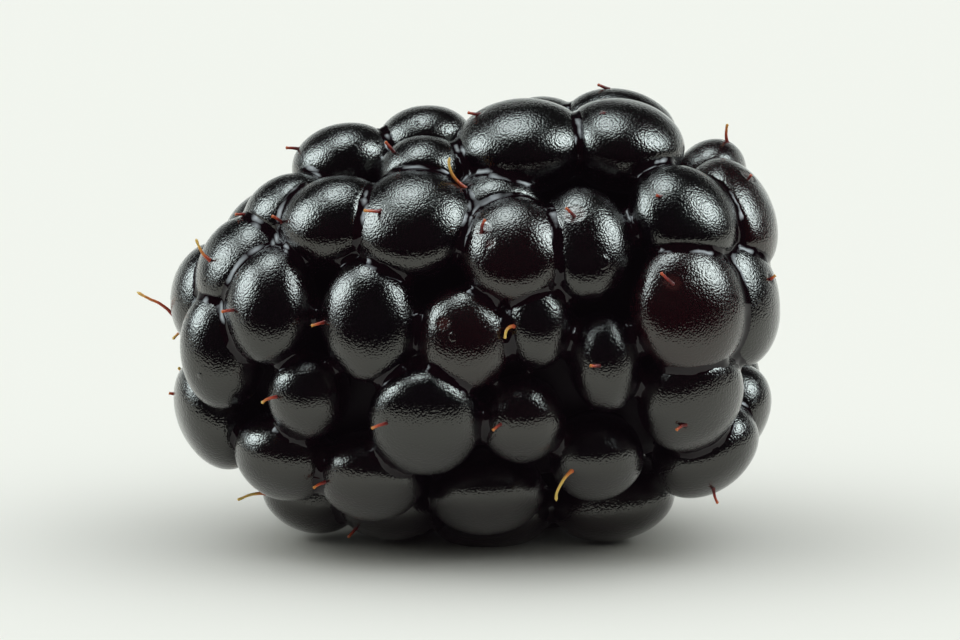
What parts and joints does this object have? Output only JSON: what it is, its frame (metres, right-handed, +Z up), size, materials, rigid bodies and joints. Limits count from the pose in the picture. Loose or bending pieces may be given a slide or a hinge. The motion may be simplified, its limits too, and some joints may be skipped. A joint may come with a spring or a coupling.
{
  "type": "bramble berry",
  "caption": "Ripe black bramble berry lying on its side: packed glossy drupelets with dried styles round a fleshy core, and a pale plug at the stem end.",
  "frame": {"origin": "on the surface the berry lies on, under the middle of its bounding box", "axes": "+X along the berry from the apex to the stem end, +Z up; the seen side faces -Y"},
  "size_m": [0.0268, 0.0205, 0.0199],
  "materials": {
    "drupelet_skin": "smooth taut black skin with a wine tint, finely pebbled, glossy",
    "style": "dried, dark red at the root and straw yellow at the tip",
    "receptacle": "moist pale green-white pith",
    "juice": "wet dark red film in the creases"
  },
  "bodies": {
    "root": {"bramble_berry": "drupelet_skin"}
  },
  "joints": []
}
